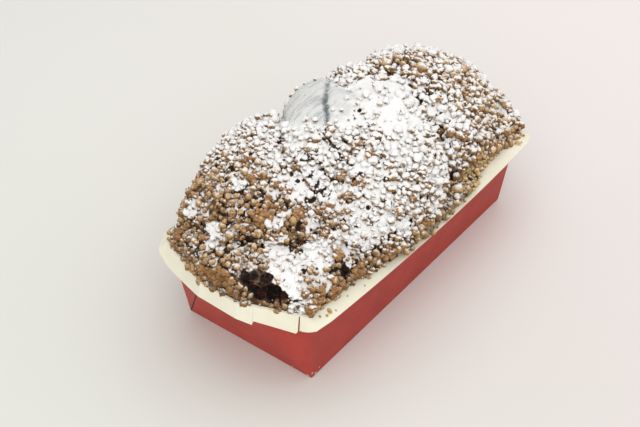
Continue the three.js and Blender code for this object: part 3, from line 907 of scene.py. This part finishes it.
def crustMaterial(coat):
    colours = dict(
        dough=(0.24, 0.14, 0.07), deep=(0.09, 0.045, 0.02), pitShade=(0.024, 0.012, 0.006),
        golden=(0.55, 0.38, 0.19), olive=(0.34, 0.30, 0.21), cocoa=(0.0065, 0.0035, 0.0025),
        maroon=(0.045, 0.012, 0.010), flour=(0.74, 0.74, 0.72), streak=(0.50, 0.52, 0.52),
        shadedCrack=(0.13, 0.165, 0.175),
    )
    material, tree, shader = newMaterial("crust")
    fine, broad = noiseNode(tree, 0.9, 4.0, 0.65), noiseNode(tree, 5.0, 3.0)
    golden, floury = attributeNode(tree, "golden", 0.8), attributeNode(tree, "flour", 0.9)
    hollowShade = mathNode(tree, "MULTIPLY_ADD", fine, 0.5, attributeNode(tree, "hollowShade"))
    hollowShade = rangeNode(tree, hollowShade, 0.35, 0.85)
    body = blendNode(tree, rangeNode(tree, broad, 0.38, 0.62), colours["deep"], colours["dough"])
    body = blendNode(tree, golden, body, colours["golden"])
    body = blendNode(tree, attributeNode(tree, "olive"), body, colours["olive"])
    # painted shade: the pits, the hollows between the knobs and the deep gaps are blended towards near-black
    body = blendNode(tree, hollowShade, body, colours["pitShade"])
    filling = blendNode(tree, rangeNode(tree, broad, 0.48, 0.64), colours["cocoa"], colours["maroon"])
    body = blendNode(tree, attributeNode(tree, "bare"), body, filling)
    lying = mathNode(tree, "MULTIPLY_ADD", hollowShade, -0.55, attributeNode(tree, "lying"))
    body = blendNode(tree, coatNode(tree, coat, lying, 0.12)[0], body, sugar["white"])
    streaks = rangeNode(tree, noiseNode(tree, 2.6, 3.0, 0.6, (6, 1, 1)), 0.45, 0.65)
    body = blendNode(tree, floury, body, blendNode(tree, streaks, colours["flour"], colours["streak"]))
    # painted shade: the cracks are blended towards blue-grey
    shadedCrack = mathNode(tree, "MULTIPLY_ADD", fine, 0.5, attributeNode(tree, "shadedCrack"))
    body = blendNode(tree, rangeNode(tree, shadedCrack, 0.5, 1.25), body, colours["shadedCrack"])
    dress(tree, shader, body, 0.85, 0.12, bumpNode(tree, fine, 0.5))
    return material


def cocoaMaterial():
    black, brown = (0.005, 0.0028, 0.0022), (0.028, 0.010, 0.007)
    material, tree, shader = newMaterial("cocoa")
    shade = rangeNode(tree, noiseNode(tree, 2.0, 3.0), 0.45, 0.7)
    bump = bumpNode(tree, noiseNode(tree, 0.7, 3.0), 0.3)
    dress(tree, shader, blendNode(tree, shade, black, brown), 0.6, 0.15, bump)
    return material


def sugarMaterial():
    material, tree, shader = newMaterial("sugar")
    shade = noiseNode(tree, 0.8, 2.0)
    dress(tree, shader, blendNode(tree, shade, sugar["white"], sugar["shaded"]), 0.9)
    return material


grease, scuff = (0.66, 0.40, 0.16), (0.72, 0.60, 0.52)  # colours of stains and scuffs on the board
boardSpots = dict(  # their places and radii
    creamBoard=[(grease, [
        (-92, -51, 49.6, 1.5), (-60, -52, 49.5, 1.1), (90, -53, 50.2, 2.2), (98, -51, 50.2, 1.6),
    ])],
    redBoard=[(scuff, [
        (-95, -42.4, 4, 0.8), (-92, -42.4, 1.5, 0.9), (-96, -38, 5, 0.7), (-96.5, -34, 8, 0.6),
        (-95.2, -40, 1.5, 0.9), (-95.6, -41, 9, 0.7), (-89, -42.6, 3.5, 0.6), (-96, -30, 2, 0.6),
        (-40, -46.5, 27, 0.6), (-58, -45, 20, 0.5), (-24, -47, 30, 0.6), (2, -46, 22, 0.5),
    ])],
    boardEdge=[],
)
# a painted shadow: a dark line along the left crease, where the end panel's flap overlaps the web
slotShadow = dict(start=(-95, 42, 0), stop=(-115, 12, 51.3), width=0.28, dark=(0.012, 0.005, 0.004))
# the body, its mottling, its fibres, and how much it shines
boards = dict(
    redBoard=((0.44, 0.050, 0.036), (0.38, 0.043, 0.031), (0.50, 0.10, 0.075), 0.3),
    creamBoard=((0.86, 0.825, 0.675), (0.83, 0.79, 0.63), (0.91, 0.88, 0.78), 0.2),
    boardEdge=((0.80, 0.70, 0.58), (0.74, 0.60, 0.48), (0.84, 0.76, 0.66), 0.2),
)


def slotShadowNode(tree):
    # 1 along the open crease where the board is tucked in; the dark line drawn there is a painted shadow of
    # the flap's edge
    start, stop = Vector(slotShadow["start"]) * metre, Vector(slotShadow["stop"]) * metre
    along, across, away = (tree.nodes.new("ShaderNodeVectorMath") for _ in range(3))
    along.operation, across.operation, away.operation = "SUBTRACT", "CROSS_PRODUCT", "LENGTH"
    along.inputs[1].default_value = start
    across.inputs[1].default_value = (stop - start).normalized()
    tree.links.new(objectPlace(tree), along.inputs[0])
    tree.links.new(along.outputs[0], across.inputs[0])
    tree.links.new(across.outputs[0], away.inputs[0])
    half = slotShadow["width"] * metre
    return rangeNode(tree, away.outputs["Value"], half, half * 2.2, 1.0, 0.0)


def spotNode(tree, place, radius):
    # 1 within a round spot with an uneven edge, given in millimetres
    away, edge = tree.nodes.new("ShaderNodeVectorMath"), radius * metre
    away.operation = "DISTANCE"
    away.inputs[1].default_value = [c * metre for c in place]
    tree.links.new(objectPlace(tree), away.inputs[0])
    uneven = mathNode(tree, "MULTIPLY_ADD", noiseNode(tree, radius, 2.0), edge, away.outputs["Value"])
    return rangeNode(tree, uneven, edge * 1.1, edge * 1.6, 1.0, 0.0)


def boardMaterial(name, colour, mottled, fibre, shine):
    material, tree, shader = newMaterial(name)
    broad, fine = noiseNode(tree, 12.0, 3.0), noiseNode(tree, 0.5, 3.0, 0.6, (3, 3, 1))
    body = blendNode(tree, rangeNode(tree, broad, 0.35, 0.65), colour, mottled)
    body = blendNode(tree, mathNode(tree, "MULTIPLY", rangeNode(tree, fine, 0.45, 0.75), 0.25), body, fibre)
    for colourOfSpot, spots in boardSpots[name]:
        for x, y, z, radius in spots:
            body = blendNode(tree, spotNode(tree, (x, y, z), radius), body, colourOfSpot)
    if name == "redBoard":
        # painted shadow along the crease
        body = blendNode(tree, slotShadowNode(tree), body, slotShadow["dark"])
    dress(tree, shader, body, 0.6, shine, bumpNode(tree, fine, 0.05))
    return material


# Floor, light and camera.
studio = dict(
    # the floor's colours near and far: lighter far away, as painted light fall-off
    floorNearShaded=((0.73, 0.735, 0.685), (0.75, 0.705, 0.68)),  # left and right
    floorFarLit=((0.80, 0.79, 0.745), (0.86, 0.81, 0.79)), floorSize=4.0,
    skyColour=(1.0, 0.99, 0.975), skyStrength=0.54,
    lamps=dict(  # size, power and place, in metres and watts
        softbox=(2.0, 11.0, (0.4, -0.1, 1.3)), fill=(1.6, 12.0, (-1.1, -0.6, 0.9)),
    ),
    eye=(-405.6, -283.1, 416.0), target=(-1.96, 23.33, 18.67), lens=61.875, sensor=36,
)


def buildFloor():
    material, tree, shader = newMaterial("floorPaper")
    parts = tree.nodes.new("ShaderNodeSeparateXYZ")
    tree.links.new(objectPlace(tree), parts.inputs[0])
    across = mathNode(tree, "SUBTRACT", parts.outputs[0], parts.outputs[1])
    across = rangeNode(tree, across, -0.25, 0.3)
    along = rangeNode(tree, mathNode(tree, "ADD", parts.outputs[0], parts.outputs[1]), -0.3, 0.5)
    # painted light: the floor's colour is darker at the near side and lighter at the far side, most at the
    # far right
    near, far = (blendNode(tree, across, *studio[pair]) for pair in ("floorNearShaded", "floorFarLit"))
    dress(tree, shader, blendNode(tree, along, near, far), 0.7)
    half = studio["floorSize"] / 2 / metre
    corners = [(-half, -half, 0), (half, -half, 0), (half, half, 0), (-half, half, 0)]
    floor = addPiece("floor", corners, [(0, 1, 2, 3)], [material])


def setLights():
    scene = bpy.context.scene
    world = bpy.data.worlds.new("studio")
    scene.world = world
    world.use_nodes = True
    sky = world.node_tree.nodes["Background"]
    sky.inputs["Color"].default_value = (*studio["skyColour"], 1)
    sky.inputs["Strength"].default_value = studio["skyStrength"]
    for name, (size, power, place) in studio["lamps"].items():
        lamp = bpy.data.lights.new(name, "AREA")
        lamp.shape, lamp.size, lamp.energy = "SQUARE", size, power
        holder = bpy.data.objects.new(name, lamp)
        holder.location = place
        holder.rotation_euler = (-Vector(place)).to_track_quat("-Z", "Y").to_euler()
        scene.collection.objects.link(holder)
    scene.view_settings.view_transform = "Standard"


def setCamera():
    scene = bpy.context.scene
    lens = bpy.data.cameras.new("photographer")
    lens.lens, lens.sensor_width = studio["lens"], studio["sensor"]
    lens.clip_start, lens.clip_end = 0.05, 20
    camera = bpy.data.objects.new("photographer", lens)
    eye, target = Vector(studio["eye"]) * metre, Vector(studio["target"]) * metre
    camera.location = eye
    camera.rotation_euler = (target - eye).to_track_quat("-Z", "Y").to_euler()
    scene.collection.objects.link(camera)
    scene.camera = camera


coat = sugarCoatGroup()
finishes = dict(crumb=crumbMaterial(coat), cocoa=cocoaMaterial(), sugar=sugarMaterial())
print("crust")
crust = buildCrust(crustMaterial(coat))
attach(crust, "root")
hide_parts("loaf")
print("crumbs")
tree = scatterTree()
for kind in scatters:
    piece = scatterPiece(tree, crust, kind, finishes[kind["finish"]])
    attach(piece, "root")
clumps = buildClumps(crust, finishes["crumb"])
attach(clumps, "root")
print("tray")
paperTray = buildTray(*(boardMaterial(name, *looks) for name, looks in boards.items()))
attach(paperTray, "root")
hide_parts("tray")
print("studio")
buildFloor()
setLights()
setCamera()
